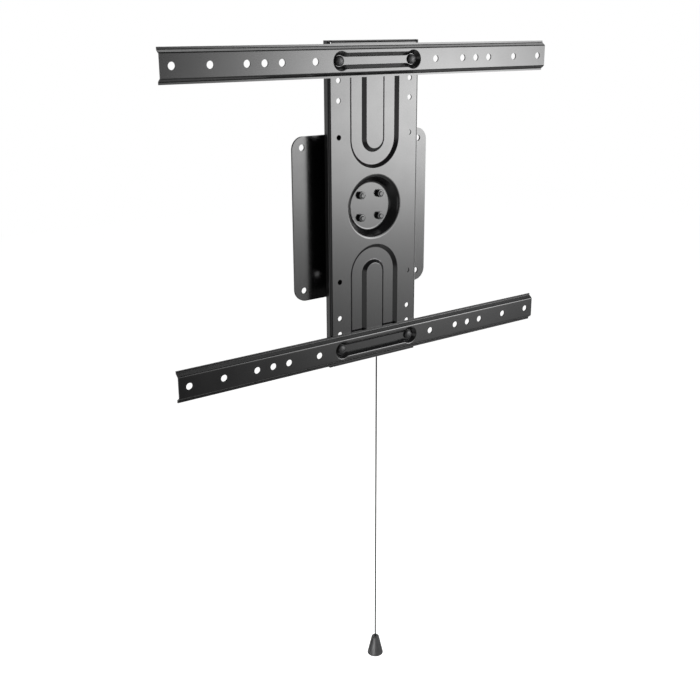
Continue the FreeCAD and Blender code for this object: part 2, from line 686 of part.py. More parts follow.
def plate_channel(body, end_name, sign):
    """A pressed channel that comes in from one end, round the tongue and out again."""
    middle = "((channel_outer + channel_inner) / 4)"
    half = "((channel_outer - channel_inner) / 4)"
    shift = wall_slope("plate_sheet", "channel_run", "channel_depth")
    upward = sign == ""
    for side, top, grow in (("boss", PLATE_BACK, shift), ("hollow", PLATE_FRONT, "0")):
        wide, narrow = f"({half} + {grow})", f"({half} + {grow} - channel_run)"
        floor = f"-({top} - channel_depth)"
        right = [(f"{middle} - {wide}", f"-{top}"), (f"{middle} + {wide}", f"-{top}"),
                 (f"{middle} + {narrow}", floor), (f"{middle} - {narrow}", floor)]
        left = [(f"-({x})", y) for x, y in reversed(right)]
        adds = side == "boss"
        legs = sketch_on(body, f"{end_name}_{side}_legs", "XY_Plane", f"{sign}{CHANNEL_CENTRE}")
        outline(legs, right)
        outline(legs, left)
        straight = body.newObject("PartDesign::Pad" if adds else "PartDesign::Pocket",
                                  f"{end_name}_{side}_straight")
        straight.Profile = legs
        straight.setExpression("Length", bound(f"{CHANNEL_END} - {CHANNEL_CENTRE}"))
        straight.Reversed = adds != upward
        turn = sketch_on(body, f"{end_name}_{side}_turn", "XY_Plane", f"{sign}{CHANNEL_CENTRE}")
        outline(turn, right)
        bend = body.newObject("PartDesign::Revolution" if adds else "PartDesign::Groove",
                              f"{end_name}_{side}_bend")
        bend.Profile = turn
        bend.ReferenceAxis = (turn, ["V_Axis"])
        bend.Angle = 180
        bend.Reversed = not upward
    form = bend
    for name, depth in (("rim", PLATE_FRONT), ("floor", f"({PLATE_FRONT} - channel_depth)")):
        form = rounded(body, form, f"{end_name}_channel_{name}", "channel_round",
                       channel_edges(upward, depth))


def channel_edges(upward, depth):
    """A test for the long edges of a channel at one depth, without its open ends."""
    level, way = -number(depth), 1 if upward else -1
    widest, last = number("channel_outer") / 2, number(CHANNEL_END)

    def chosen(edge):
        box = edge.BoundBox
        flat = near(box.YMin, level) and near(box.YMax, level)
        inside = max(abs(box.XMin), abs(box.XMax)) < widest + 0.1
        middle = way * edge.CenterOfMass.z
        return flat and inside and number(DISH_RIM) / 2 + 1 < middle < last - 1
    return chosen


# Rails: folded channels with a pressed recess for their two bolts

def rail(label, sign):
    body = doc.addObject("PartDesign::Body", f"{label}_body")
    drop = "(rail_depth - rail_sheet)"
    shift = wall_slope("rail_sheet", "rail_flare", drop)
    face, foot, edge = f"{RAIL_FACE} / 2", f"{RAIL_FOOT} / 2", f"{RAIL_HEIGHT} / 2"
    upper = [(f"-{RAIL_FRONT}", face), (f"-{RAIL_SEAT}", foot), (f"-{RAIL_SEAT}", edge),
             (f"-{PLATE_FRONT}", edge), (f"-{PLATE_FRONT}", f"{foot} - {shift}"),
             (f"-{RAIL_BACK}", f"{face} - {shift}")]
    lower = [(y, f"-({z})") for y, z in reversed(upper)]
    section = sketch_on(body, f"{label}_section", "YZ_Plane")
    outline(section, upper + lower)
    form = pad(body, section, RAIL_LENGTH, both_ways=True)
    inside, outside = "rail_bend", "(rail_bend + rail_sheet)"
    bends = ((RAIL_FRONT, face, outside), (RAIL_SEAT, foot, inside),
             (PLATE_FRONT, f"{foot} - {shift}", outside), (RAIL_BACK, f"{face} - {shift}", inside))
    for index, (depth, z, radius) in enumerate(bends):
        form = rounded(body, form, f"{label}_bend_{index}", radius, bend_at("x", depth, z))
    rail_recess(body, label, drop)
    for columns in [alias for alias in SIZES if alias.startswith("columns_")]:
        holes = front_sketch(body, f"{label}_{columns}", RAIL_FRONT)
        for side in ("-", ""):
            circle(holes, f"{side}{columns} / 2", "0", "screen_hole")
        pocket(body, holes, "rail_sheet")
    bolts = front_sketch(body, f"{label}_bolt_holes", RAIL_SEAT)
    for side in ("-", ""):
        circle(bolts, f"{side}rail_bolt_pitch / 2", "0", BOLT_HOLE)
    pocket(body, bolts, "rail_sheet")
    place(body, z=f"pivot_rise {sign} screen_rows / 2")
    return named(body, label)


def rail_recess(body, label, drop):
    """The recess: a tapered boss behind the face, then its hollow, then the rounded rim."""
    shift = wall_slope("rail_sheet", "recess_run", drop)
    taper = f"-atan(recess_run / {drop})"
    boss = front_sketch(body, f"{label}_recess_boss", RAIL_BACK)
    dumbbell(boss, "rail_bolt_pitch", f"({RECESS_END} / 2 + {shift})", f"(recess_waist / 2 + {shift})",
             f"(recess_blend - {shift})")
    pad(body, boss, drop, taper, backward=True)
    hollow = front_sketch(body, f"{label}_recess_hollow", RAIL_FRONT)
    dumbbell(hollow, "rail_bolt_pitch", f"({RECESS_END} / 2)", "(recess_waist / 2)", "recess_blend")
    recess = pocket(body, hollow, drop, taper)
    front = -number(RAIL_FRONT)
    reach = (number("rail_bolt_pitch") + number(RECESS_END)) / 2

    def rim(edge):
        box = edge.BoundBox
        inside = max(abs(box.XMin), abs(box.XMax)) < reach + 0.1
        level = max(abs(box.ZMin), abs(box.ZMax)) < number(RECESS_END) / 2 + 0.1
        return inside and level and near(box.YMin, front) and near(box.YMax, front)
    rounded(body, recess, f"{label}_recess_rim", "recess_round", rim)


def rail_fasteners(label, sign):
    bolts = []
    washers = []
    nuts = []
    washer_back = f"({PLATE_BACK} - washer_sheet)"
    nut_back = f"({washer_back} - rail_nut_height)"
    height = f"pivot_rise {sign} screen_rows / 2"
    for side, side_sign in (("left", "-"), ("right", "")):
        name = f"{label}_{side}"
        x = f"{side_sign}rail_bolt_pitch / 2"
        body = doc.addObject("PartDesign::Body", f"{name}_bolt")
        end, crown = f"{nut_back} - bolt_end", f"({RAIL_SEAT} + bolt_head_height)"
        bolt = turned(body, f"{name}_turned",
                      [(end, "0"), (end, "stud_dia / 2"), (RAIL_SEAT, "stud_dia / 2"),
                       (RAIL_SEAT, "bolt_head / 2"), (crown, "bolt_head / 2"), (crown, "0")])
        rounded(body, bolt, f"{name}_dome", "bolt_dome", circle_at(crown, "bolt_head"))
        place(body, x, z=height)
        bolts.append(body)
        bore = "stud_dia + 2 * thread_play"
        washers.append(ring(f"{name}_washer", "washer_outer", bore, x, height, washer_back, PLATE_BACK))
        nuts.append(hex_nut(f"{name}_nut", "nut_flats", bore, x, height, nut_back, washer_back))
    group(f"{label}_bolts", bolts)
    group(f"{label}_washers", washers)
    group(f"{label}_nuts", nuts)


# Lock: a flat slide on two rivets, with a tooth for the notches and an ear for the cord

def lock_slide():
    body = doc.addObject("PartDesign::Body", "lock_slide_body")
    plan = front_sketch(body, "slide_plan", HUB_BACK)
    tooth = "(notch_width / 2 - running_gap)"
    half, ear_edge = "slide_width / 2", "(ear_side + ear_radius)"
    outline(plan, [(f"-{tooth}", TOOTH_TIP), (tooth, TOOTH_TIP), (tooth, SHOULDER), (half, SHOULDER),
                   (half, LOWER_GUIDE), (ear_edge, f"{SLIDE_BOTTOM} + ear_radius / 2"),
                   (ear_edge, EAR), ("ear_side - ear_radius", EAR),
                   ("ear_side - ear_radius", SLIDE_BOTTOM), (f"-{half}", SLIDE_BOTTOM),
                   (f"-{half}", SHOULDER), (f"-{tooth}", SHOULDER)])
    pad(body, plan, "hub_sheet")
    ear = front_sketch(body, "slide_ear", HUB_BACK)
    circle(ear, "ear_side", EAR, "2 * ear_radius")
    pad(body, ear, "hub_sheet")
    cuts = front_sketch(body, "slide_cuts", HUB_FRONT)
    for guide in (UPPER_GUIDE, LOWER_GUIDE):
        slot(cuts, "0", f"{guide} + running_gap", f"{guide} - lock_travel - running_gap",
             "guide_dia + 2 * running_play")
    rectangle(cuts, f"-{WINDOW_WIDTH} / 2", f"{WINDOW_WIDTH} / 2", WINDOW_BOTTOM, WINDOW_TOP)
    circle(cuts, "ear_side", EAR, "ear_hole")
    pocket(body, cuts, "hub_sheet")
    return named(body, "lock_slide")


def lock_guides():
    rivets = []
    spacers = []
    inner_face = "(bracket_depth - bracket_sheet)"
    head_back = f"({HUB_FRONT} + running_gap)"
    for name, height in (("upper", UPPER_GUIDE), ("lower", LOWER_GUIDE)):
        shank = rod(f"{name}_rivet_shank", "guide_dia", "0", height, inner_face, head_back)
        head = rod(f"{name}_rivet_head", "guide_head", "0", height, head_back,
                   f"({head_back} + guide_head_height)")
        rivets.append(fused(f"{name}_rivet", shank, head))
        spacers.append(ring(f"{name}_spacer", "spacer_outer", "guide_dia + 2 * thread_play", "0", height,
                            FACE, f"({FACE} + friction_sheet)"))
    group("guide_rivets", rivets)
    group("guide_spacers", spacers)


def lock_spring():
    stop = doc.addObject("Part::Box", "stop_block")
    stop.setExpression("Length", bound(STOP_WIDTH))
    stop.setExpression("Width", bound(f"{HUB_FRONT} + running_gap - {FACE}"))
    stop.setExpression("Height", bound("stop_height"))
    place(stop, f"-{STOP_WIDTH} / 2", f"-({HUB_FRONT} + running_gap)", f"{STOP_TOP} - stop_height")
    named(stop, "spring_stop")
    coil = doc.addObject("Part::Helix", "spring_coil")
    coil.setExpression("Pitch", bound("(spring_length - spring_wire) / spring_turns"))
    coil.setExpression("Height", bound("spring_length - spring_wire"))
    coil.setExpression("Radius", bound("(spring_dia - spring_wire) / 2"))
    place(coil, "0", f"-{SLIDE_MIDDLE}", f"{STOP_TOP} + spring_wire / 2")
    wire = doc.addObject("Part::Circle", "spring_section")
    wire.setExpression("Radius", bound("spring_wire / 2"))
    wire.Placement = FreeCAD.Placement(FreeCAD.Vector(), OUTWARD)
    place(wire, "(spring_dia - spring_wire) / 2", f"-{SLIDE_MIDDLE}", f"{STOP_TOP} + spring_wire / 2")
    spring = doc.addObject("Part::Sweep", "spring_sweep")
    spring.Sections = [wire]
    spring.Spine = (coil, ["Edge1"])
    spring.Solid = True
    spring.Frenet = True
    return named(spring, "lock_spring")


# Pull cord: a loop through the ear, a knot, the cord, and a cone on a second knot

def knot(name, diameter, height, lowest, highest):
    """A round knot, cut flat where the cord leaves it."""
    ball = doc.addObject("Part::Sphere", name)
    ball.setExpression("Radius", bound(f"{diameter} / 2"))
    ball.setExpression("Angle1", bound(lowest))
    ball.setExpression("Angle2", bound(highest))
    place(ball, "ear_side", f"-{SLIDE_MIDDLE}", height)
    return ball


def upright(name, diameter, low, high, across="0"):
    """A round upright rod beside the cord's line."""
    piece = doc.addObject("Part::Cylinder", name)
    piece.setExpression("Radius", bound(f"({diameter}) / 2"))
    piece.setExpression("Height", bound(f"{high} - {low}"))
    place(piece, "ear_side", f"-{SLIDE_MIDDLE} + {across}", low)
    return piece


def pull_cord():
    reach = "(hub_sheet / 2 + cord_dia / 2 + running_gap / 3)"
    turn_middle = f"({EAR} - ear_hole / 2 - cord_dia / 2 + running_gap / 3)"
    loop = doc.addObject("Part::Torus", "loop_turn")
    loop.setExpression("Radius1", bound(reach))
    loop.setExpression("Radius2", bound("cord_dia / 2"))
    loop.Angle3 = 180
    loop.Placement = FreeCAD.Placement(FreeCAD.Vector(), FreeCAD.Rotation(90, 0, 90))
    place(loop, "ear_side", f"-{SLIDE_MIDDLE}", turn_middle)
    legs = [upright(f"loop_{side}", "cord_dia", KNOT, turn_middle, f"{sign}{reach}")
            for side, sign in (("front", "-"), ("back", ""))]
    tie = knot("loop_knot", "knot_dia", KNOT, "-knot_flat", "90")
    named(fused("tied_loop", loop, *legs, tie), "cord_loop")
    named(upright("cord_run", "cord_dia", CORD_BOTTOM, CORD_TOP), "pull_cord")
    end_middle = f"({CORD_BOTTOM} - end_knot_dia / 2 * sin(knot_flat * 1 deg))"
    named(knot("end_tie", "end_knot_dia", end_middle, "-90", "knot_flat"), "cord_end_knot")


def pull_cone():
    body = doc.addObject("PartDesign::Body", "cone_body")
    profile = sketch_on(body, "cone_profile", "XZ_Plane")
    bore, hollow = "cord_dia / 2 + running_gap / 3", "cone_hollow / 2"
    outline(profile, [(bore, "0"), ("cone_top / 2", "0"), ("cone_base / 2", "-cone_height"),
                      (hollow, "-cone_height"), (hollow, "-cone_cap"), (bore, "-cone_cap")])
    cone = body.newObject("PartDesign::Revolution", "cone_turned")
    cone.Profile = profile
    cone.ReferenceAxis = (profile, ["V_Axis"])
    cone.Angle = 360
    outer = (number("cone_top") / 2, number("cone_base") / 2)

    def rim(edge):
        round_edge = edge.Curve.TypeId == "Part::GeomCircle"
        return round_edge and any(near(edge.Curve.Radius, radius) for radius in outer)
    rounded(body, cone, "cone_rims", "cone_round", rim)
    place(body, "ear_side", f"-{SLIDE_MIDDLE}", CONE_TOP)
    return named(body, "pull_cone")


wall_bracket()
pivot()
hub_disc()
hub_fasteners()
turning_plate()
for rail_label, rail_sign in (("upper_rail", "+"), ("lower_rail", "-")):
    rail(rail_label, rail_sign)
    rail_fasteners(rail_label, rail_sign)
lock_slide()
lock_guides()
lock_spring()
pull_cord()
pull_cone()
doc.recompute()

for item in doc.Objects:
    if "Invalid" in item.State or "Error" in item.State:
        raise RuntimeError(f"{item.Name} failed: {item.State}")
os.makedirs("parts", exist_ok=True)
for piece in pieces:
    if piece.Shape.isNull() or not piece.Shape.isValid():
        raise RuntimeError(f"{piece.Label} has no valid shape")
for piece in pieces:
    piece.Shape.exportStep(f"parts/{piece.Label}.step")
    print(f"{piece.Label}: {len(piece.Shape.Solids)} solids, {piece.Shape.Volume / 1000:.2f} cm3")
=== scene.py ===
"""Turning wall mount for a flat screen, with a pull cord: finishes, small fasteners, light and camera."""
import math

import bmesh
import bpy
import numpy as np
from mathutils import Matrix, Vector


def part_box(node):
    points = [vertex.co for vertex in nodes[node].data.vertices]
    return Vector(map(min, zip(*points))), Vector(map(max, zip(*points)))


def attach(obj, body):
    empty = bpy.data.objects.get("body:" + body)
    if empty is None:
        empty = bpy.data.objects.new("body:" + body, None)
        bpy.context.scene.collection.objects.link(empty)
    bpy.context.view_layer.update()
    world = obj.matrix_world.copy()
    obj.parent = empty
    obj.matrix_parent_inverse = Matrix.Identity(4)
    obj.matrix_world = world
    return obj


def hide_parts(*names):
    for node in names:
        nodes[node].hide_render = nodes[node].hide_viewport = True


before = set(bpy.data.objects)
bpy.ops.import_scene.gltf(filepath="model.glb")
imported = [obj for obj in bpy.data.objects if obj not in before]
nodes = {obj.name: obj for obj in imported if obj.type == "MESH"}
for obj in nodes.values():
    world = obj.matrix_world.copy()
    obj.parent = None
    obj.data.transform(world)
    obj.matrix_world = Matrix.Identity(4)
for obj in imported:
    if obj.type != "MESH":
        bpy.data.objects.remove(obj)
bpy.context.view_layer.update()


# Wall bracket: one steel sheet folded to a shallow hat and screwed flat to the wall by four holes.
# It is powder coated satin black, which leaves a fine orange peel all over the sheet.

def new_finish(name, roughness, specular, metallic=0.0):
    """An empty node finish with the values that are the same all over it."""
    material = bpy.data.materials.new(name)
    material.use_nodes = True
    shader = material.node_tree.nodes["Principled BSDF"]
    shader.inputs["Roughness"].default_value = roughness
    shader.inputs["Specular IOR Level"].default_value = specular
    shader.inputs["Metallic"].default_value = metallic
    return material, material.node_tree, shader


def speckle(tree, grain, stretch=(1, 1, 1), depth=2.0):
    """Noise fixed to the piece, with grains of a size in metres, longer where stretch is under 1."""
    place = tree.nodes.new("ShaderNodeTexCoord")
    scale = tree.nodes.new("ShaderNodeMapping")
    scale.inputs["Scale"].default_value = stretch
    noise = tree.nodes.new("ShaderNodeTexNoise")
    noise.inputs["Scale"].default_value = 1 / grain
    noise.inputs["Detail"].default_value = depth
    tree.links.new(place.outputs["Object"], scale.inputs["Vector"])
    tree.links.new(scale.outputs["Vector"], noise.inputs["Vector"])
    return noise.outputs["Fac"]


def spread(tree, factor, dark, light, target, low=0.3, high=0.7):
    """Lead a pattern to a socket, from one value or colour at low to another at high."""
    ramp = tree.nodes.new("ShaderNodeValToRGB")
    for stop, place, tone in zip(ramp.color_ramp.elements, (low, high), (dark, light)):
        stop.position = place
        stop.color = (*tone, 1) if isinstance(tone, tuple) else (tone, tone, tone, 1)
    tree.links.new(factor, ramp.inputs["Fac"])
    tree.links.new(ramp.outputs["Color"], target)


def relief(tree, factor, depth, shader):
    """Raise the surface by a pattern, with a depth in metres."""
    bump = tree.nodes.new("ShaderNodeBump")
    bump.inputs["Strength"].default_value = 1.0
    bump.inputs["Distance"].default_value = depth
    tree.links.new(factor, bump.inputs["Height"])
    tree.links.new(bump.outputs["Normal"], shader.inputs["Normal"])


def satin_coat():
    """Black powder coat: nearly even colour, satin gloss, orange peel of about a millimetre."""
    material, tree, shader = new_finish("satin_black_coat", 0.2, 0.8)
    cloud = speckle(tree, 0.03)
    peel = speckle(tree, 0.0009, depth=3.0)
    dark, light = (0.006, 0.006, 0.0064), (0.0085, 0.0085, 0.009)
    spread(tree, cloud, dark, light, shader.inputs["Base Color"])
    spread(tree, cloud, 0.18, 0.22, shader.inputs["Roughness"])
    relief(tree, peel, 0.00001, shader)
    return material


def finish_nodes(material, *names):
    """Give pieces of the loaded frame a finish."""
    for name in names:
        for slot in nodes[name].material_slots:
            slot.material = material


coat = satin_coat()
finish_nodes(coat, "wall_bracket")


# Pivot bush and friction washers: natural nylon, turned and moulded, pressed into and onto the bracket.
# They are a warm off-white with softened edges and a clouded, dull surface.

round_steps = 72


def skin(points, ring=False):
    """A grid of points as quads: each row is closed on itself, row follows row, and the last row
    joins the first where ring is set. Gives the points as a list, and four indices a face."""
    rows, around, _ = points.shape
    index = np.arange(rows * around).reshape(rows, around)
    if ring:
        index = np.vstack([index, index[:1]])
    here, after = index[:-1], index[1:]
    faces = np.stack([here, np.roll(here, -1, 1), np.roll(after, -1, 1), after], axis=-1)
    return points.reshape(-1, 3), faces.reshape(-1, 4)


def solid_piece(name, skins, finish, body, slot_name, *stands_for):
    """One piece from closed skins: poles and doubles merged, faces outward, smooth up to the crease."""
    touching, crease = 1e-7, math.radians(35)
    offsets = np.cumsum([0] + [len(points) for points, _ in skins])
    points = np.vstack([points for points, _ in skins])
    faces = np.vstack([quads + offset for (_, quads), offset in zip(skins, offsets)])
    mesh = bpy.data.meshes.new(name)
    mesh.from_pydata(points.tolist(), [], faces.tolist())
    work = bmesh.new()
    work.from_mesh(mesh)
    bmesh.ops.remove_doubles(work, verts=work.verts, dist=touching)
    bmesh.ops.recalc_face_normals(work, faces=work.faces)
    work.to_mesh(mesh)
    work.free()
    mesh.shade_smooth()
    mesh.set_sharp_from_angle(angle=crease)
    mesh.materials.append(finish)
    piece = bpy.data.objects.new(name, mesh)
    bpy.context.scene.collection.objects.link(piece)
    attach(piece, body)
    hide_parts(*stands_for)
    return piece


def about_axis(radius, depth, x, z):
    """Points on an axis that runs out of the wall: at each depth in front of it, a circle or any other
    closed line, given by one radius for each row, or for each row and each step of the turn."""
    around = round_steps if np.ndim(radius) == 1 else radius.shape[1]
    turn = np.linspace(0, 2 * np.pi, around, endpoint=False)
    radius = np.broadcast_to(np.reshape(radius, (len(depth), -1)), (len(depth), around))
    depth = np.broadcast_to(np.reshape(depth, (-1, 1)), radius.shape)
    return np.stack([x + radius * np.cos(turn), -depth, z + radius * np.sin(turn)], axis=-1)


def flat_ring(inner, outer, back, front, edge, x, z):
    """A ring: its section is a rectangle with quarter circles for corners, which is a circle whose
    two halves are pushed apart both ways, carried round the axis."""
    section_steps = 32
    turn = (np.arange(section_steps) + 0.5) * 2 * np.pi / section_steps
    out, forward = np.cos(turn), np.sin(turn)
    radius = (inner + outer) / 2 + ((outer - inner) / 2 - edge) * np.sign(out) + edge * out
    depth = (back + front) / 2 + ((front - back) / 2 - edge) * np.sign(forward) + edge * forward
    return skin(about_axis(radius, depth, x, z), ring=True)


def natural_nylon():
    """Off-white nylon: clouded colour, dull, with a fine grain."""
    material, tree, shader = new_finish("natural_nylon", 0.5, 0.4)
    cloud = speckle(tree, 0.004)
    spread(tree, cloud, (0.70, 0.68, 0.61), (0.80, 0.78, 0.72), shader.inputs["Base Color"])
    spread(tree, cloud, 0.42, 0.58, shader.inputs["Roughness"], low=0.2, high=0.8)
    relief(tree, speckle(tree, 0.0006), 0.00002, shader)
    return material


pivot_z = 0.0135
nylon_edge = 0.0003
nylon_bores = {"pivot_bush": 0.01006, "front_friction_washer": 0.030, "rear_friction_washer": 0.01211}
nylon = natural_nylon()
for washer, bore in nylon_bores.items():
    low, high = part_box(washer)
    ring = flat_ring(bore, (high.x - low.x) / 2, -high.y, -low.y, nylon_edge, 0, pivot_z)
    solid_piece(f"soft_{washer}", [ring], nylon, "wall_side", "nylon", washer)


# Guides, spring stop and spring of the lock: two shouldered rivets with spacers, set in the raised face.
# Steel, zinc plated: a dull, cool grey with the streaks and spangle of a plating bath.

def zinc_plate():
    """Zinc on steel: dull metal whose tone and gloss drift in streaks and small spangles."""
    material, tree, shader = new_finish("zinc_plate", 0.58, 0.5, metallic=1.0)
    streak = speckle(tree, 0.006, stretch=(1, 1, 0.25))
    spread(tree, streak, (0.40, 0.41, 0.44), (0.54, 0.55, 0.57), shader.inputs["Base Color"])
    spread(tree, speckle(tree, 0.0015), 0.54, 0.64, shader.inputs["Roughness"])
    relief(tree, speckle(tree, 0.0004), 0.000008, shader)
    return material


def domed(radius, seat, crown, rim):
    """Radii and depths of a head from its crown to its seat: a quarter ellipse that falls from the
    axis, and a short straight rim under it."""
    dome_rows = 14
    fall = np.linspace(0, np.pi / 2, dome_rows)
    rise = (crown - seat) - rim
    return (np.append(radius * np.sin(fall), radius),
            np.append(seat + rim + rise * np.cos(fall), seat))


def guide_rivet(x, z):
    """A domed head on a plain shank, closed at the back by a flat end."""
    head, shank = 0.007, 0.004
    crown, seat, back, rim = 0.0208, 0.0193, 0.0115, 0.0005
    radius, depth = domed(head, seat, crown, rim)
    return skin(about_axis(np.append(radius, [shank, shank, 0]),
                           np.append(depth, [seat, back, back]), x, z))


def guide_spacer(x, z):
    """A flat ring on the raised face, behind the slide."""
    bore, outer, edge = 0.00405, 0.008, 0.0002
    back, front = 0.0145, 0.0157
    return flat_ring(bore, outer, back, front, edge, x, z)


zinc = zinc_plate()
guide_heights = (-0.059, -0.101)
solid_piece("domed_guide_rivets", [guide_rivet(0, z) for z in guide_heights], zinc,
            "wall_side", "zinc_steel", "guide_rivets")
solid_piece("rounded_guide_spacers", [guide_spacer(0, z) for z in guide_heights], zinc,
            "wall_side", "zinc_steel", "guide_spacers")
finish_nodes(zinc, "spring_stop", "lock_spring")


# Hub disc, spindle, keeper and nut: the turned pivot that clamps the friction washers.
# Zinc plated steel; the nut behind the keeper is tightened on the spindle's thread.

def hex_nut(flats, bore, back, front, x, z):
    """A chamfered nut. Its radius is half the flats over the cosine of the angle from the middle of a
    flat, cut down near both ends by a cone of 30 degrees; the bore is a circle, opened at both ends."""
    nut_steps, chamfer_rows = 144, 9
    chamfer, end_face, mouth = 0.07 * flats, 0.475 * flats, 0.05 * flats
    turn = np.linspace(0, 2 * np.pi, nut_steps, endpoint=False)
    hexagon = flats / 2 / np.cos(turn % (np.pi / 3) - np.pi / 6)
    step = np.linspace(0, chamfer, chamfer_rows)
    outside = np.concatenate([back + step, front - step[::-1]])
    from_end = np.minimum(outside - back, front - outside)
    cone = end_face + from_end / math.tan(math.radians(30))
    sides = np.minimum(hexagon, cone[:, None])
    inside = np.array([front, front - mouth, back + mouth, back])
    opening = np.array([bore + mouth, bore, bore, bore + mouth])[:, None] * np.ones(nut_steps)
    radius, depth = np.vstack([sides, opening]), np.concatenate([outside, inside])
    return skin(about_axis(radius, depth, x, z), ring=True)


def thread(major, pitch, start, tip):
    """Radii and depths of a screw thread with a blunt end. The radius falls from the crest by a
    triangle wave of the depth over the pitch less the share of the turn, so the ridge climbs one pitch
    a turn, and a cone of 45 degrees cuts it down at the tip."""
    rows_a_pitch, groove, tip_cut = 10, 0.6 * pitch, 0.5 * pitch
    turn = np.linspace(0, 1, round_steps, endpoint=False)
    depth = np.linspace(start, tip, int(abs(tip - start) / pitch * rows_a_pitch) + 2)
    wave = np.abs(2 * ((depth[:, None] / pitch - turn) % 1) - 1)
    near_start = np.clip(np.abs(depth - start) / pitch, 0, 1)[:, None]
    ridge = major - groove * wave * near_start
    end_cone = major - tip_cut + np.abs(depth - tip)
    return np.minimum(ridge, end_cone[:, None]), depth


def full_rows(radius):
    """One radius a row, made the same all round."""
    return np.asarray(radius)[:, None] * np.ones(round_steps)


def pivot_spindle():
    """A flat head, a plain shank, and a thread towards the wall."""
    head, shank, major, pitch, edge = 0.014, 0.010, 0.008, 0.0015, 0.0002
    front, seat, shoulder, tip = 0.019, 0.0175, 0.0100, 0.0020
    ridge, run = thread(major, pitch, shoulder, tip)
    outline = full_rows([0, head - edge, head, head, shank, shank, major])
    radius = np.vstack([outline, ridge, full_rows([0])])
    depth = np.concatenate([[front, front, front - edge, seat, seat, shoulder, shoulder], run, run[-1:]])
    return skin(about_axis(radius, depth, 0, pivot_z))


keeper_outer, keeper_edge, spindle_nut_flats, spindle_bore = 0.028, 0.0004, 0.024, 0.00805
spindle_nut_back, keeper_back, keeper_front = 0.0025, 0.0075, 0.0100
keeper = flat_ring(spindle_bore, keeper_outer, keeper_back, keeper_front, keeper_edge, 0, pivot_z)
spindle_nut = hex_nut(spindle_nut_flats, spindle_bore, spindle_nut_back, keeper_back, 0, pivot_z)
finish_nodes(zinc, "hub_disc")
solid_piece("turned_spindle", [pivot_spindle()], zinc, "turning_side", "zinc_steel", "pivot_spindle")
solid_piece("rounded_keeper", [keeper], zinc, "turning_side", "zinc_steel", "keeper_washer")
solid_piece("chamfered_spindle_nut", [spindle_nut], zinc, "turning_side", "zinc_steel", "spindle_nut")


# Turning plate: one stamped steel sheet with folded edges, a dish for the hub and a pressed loop at
# each end. It has the same powder coat as the bracket, and the hub's studs hold it.

finish_nodes(coat, "swivel_plate")


# Hub studs and nuts: four M6 studs pressed into the hub disc from behind, with nuts in the dish.
# Steel with a black zinc finish, a little duller and greyer than the coat.

def black_zinc():
    """Black plating: dark and fairly glossy, with small differences from spot to spot."""
    material, tree, shader = new_finish("black_zinc", 0.3, 0.8)
    spot = speckle(tree, 0.003)
    spread(tree, spot, (0.010, 0.010, 0.011), (0.020, 0.020, 0.022), shader.inputs["Base Color"])
    spread(tree, spot, 0.26, 0.36, shader.inputs["Roughness"])
    relief(tree, speckle(tree, 0.0003), 0.000006, shader)
    return material


def hub_stud(x, z):
    """A flush head behind, a plain shank through disc and dish, and a thread for the nut."""
    head, shank, pitch = 0.0045, 0.003, 0.001
    back, seat, dish_face, thread_start, tip = 0.016, 0.0172, 0.0210, 0.0212, 0.0275
    ridge, run = thread(shank, pitch, thread_start, tip)
    radius = np.vstack([full_rows([0, head, head, shank, shank]), ridge, full_rows([0])])
    depth = np.concatenate([[back, back, seat, seat, dish_face], run, run[-1:]])
    return skin(about_axis(radius, depth, x, z))


plating = black_zinc()
half_pitch = 0.016
stud_places = [(x, pivot_z + z) for x in (-half_pitch, half_pitch) for z in (-half_pitch, half_pitch)]
nut_flats, nut_bore = 0.010, 0.00305
nut_seat, nut_face = 0.021, 0.026
hub_nuts = [hex_nut(nut_flats, nut_bore, nut_seat, nut_face, x, z) for x, z in stud_places]
solid_piece("threaded_hub_studs", [hub_stud(x, z) for x, z in stud_places], plating,
            "turning_side", "black_steel", "hub_studs")
solid_piece("chamfered_hub_nuts", hub_nuts, plating, "turning_side", "black_steel", "hub_nuts")


# Rails: two folded steel channels with rows of screen holes and a dumb-bell recess for their bolts.
# They have the same powder coat, and sit flat on the turning plate.

finish_nodes(coat, "upper_rail", "lower_rail")


# Rail bolts, washers and nuts: two domed bolts through each recess, with washers and nuts behind the
# plate. Steel, black zinc, duller on the pressed domes.

def dull_zinc():
    """Black plating on the pressed domes: a dull, slightly paler grey with a fine grain."""
    material, tree, shader = new_finish("dull_black_zinc", 0.46, 0.6)
    spot = speckle(tree, 0.002)
    spread(tree, spot, (0.022, 0.022, 0.023), (0.034, 0.034, 0.036), shader.inputs["Base Color"])
    spread(tree, spot, 0.42, 0.52, shader.inputs["Roughness"])
    relief(tree, speckle(tree, 0.0004), 0.00001, shader)
    return material


def rail_bolt(x, z):
    """A domed head, a plain shank through rail and plate, and a thread towards the wall."""
    head, shank, pitch, rim = 0.00675, 0.003, 0.001, 0.0012
    crown, seat, plain_end, thread_start, tip = 0.0395, 0.035, 0.0295, 0.0294, 0.0229
    dome, rise = domed(head, seat, crown, rim)
    ridge, run = thread(shank, pitch, thread_start, tip)
    radius = np.vstack([full_rows(dome), full_rows([shank, shank]), ridge, full_rows([0])])
    depth = np.concatenate([rise, [seat, plain_end], run, run[-1:]])
    return skin(about_axis(radius, depth, x, z))


